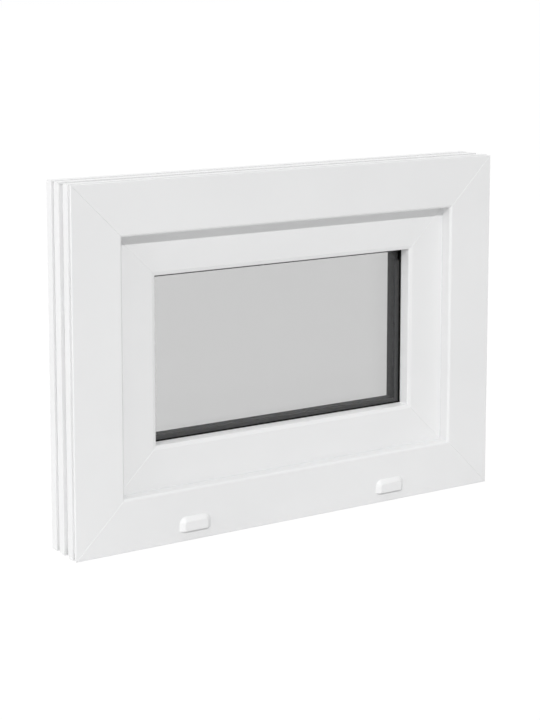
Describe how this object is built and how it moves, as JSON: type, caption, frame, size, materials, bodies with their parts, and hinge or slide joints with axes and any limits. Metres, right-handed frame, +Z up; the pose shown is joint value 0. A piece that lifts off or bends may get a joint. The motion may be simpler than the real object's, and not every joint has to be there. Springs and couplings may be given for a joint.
{
  "type": "bottom-hung upvc window",
  "caption": "Small closed window: a recessed sash with double glazing in a ribbed frame of mitred hollow white profiles, with drain caps, room-side hinges and a lever handle.",
  "frame": {"origin": "centre of the frame's bottom face, at mid width and at the middle of the 60 mm frame depth", "axes": "+X along the width, to the right as seen from outside; +Y from the outside face towards the room; +Z up"},
  "size_m": [0.58, 0.132, 0.42],
  "materials": {
    "upvc_white": "smooth white extruded profile",
    "cap_white": "smooth white moulding",
    "glass": "clear float glass",
    "gasket_black": "matte black rubber",
    "seal_grey": "matte pale grey rubber",
    "spacer_black": "matte black",
    "sealant_black": "matte black sealant",
    "block_plastic": "matte moulded plastic",
    "handle_white": "satin white powder coat",
    "hinge_white": "satin white powder coat",
    "pin_steel": "bright zinc-plated steel"
  },
  "bodies": {
    "root": {"frame_head": "upvc_white", "frame_sill": "upvc_white", "frame_jamb_left": "upvc_white", "frame_jamb_right": "upvc_white", "sash_rail_top": "upvc_white", "sash_rail_bottom": "upvc_white", "sash_stile_left": "upvc_white", "sash_stile_right": "upvc_white", "bead_top": "upvc_white", "bead_bottom": "upvc_white", "bead_left": "upvc_white", "bead_right": "upvc_white", "drain_cap_left": "cap_white", "drain_cap_right": "cap_white", "pane_outer": "glass", "pane_inner": "glass", "glazing_gasket_outer": "gasket_black", "glazing_gasket_inner": "gasket_black", "frame_seal": "seal_grey", "sash_seal": "seal_grey", "spacer_bar": "spacer_black", "edge_sealant": "sealant_black", "setting_block_left": "block_plastic", "setting_block_right": "block_plastic", "handle_lever": "handle_white", "handle_rosette": "handle_white", "hinge_frame_leaf_left": "hinge_white", "hinge_frame_leaf_right": "hinge_white", "hinge_sash_leaf_left": "hinge_white", "hinge_sash_leaf_right": "hinge_white", "hinge_pin_left": "pin_steel", "hinge_pin_right": "pin_steel"}
  },
  "joints": []
}
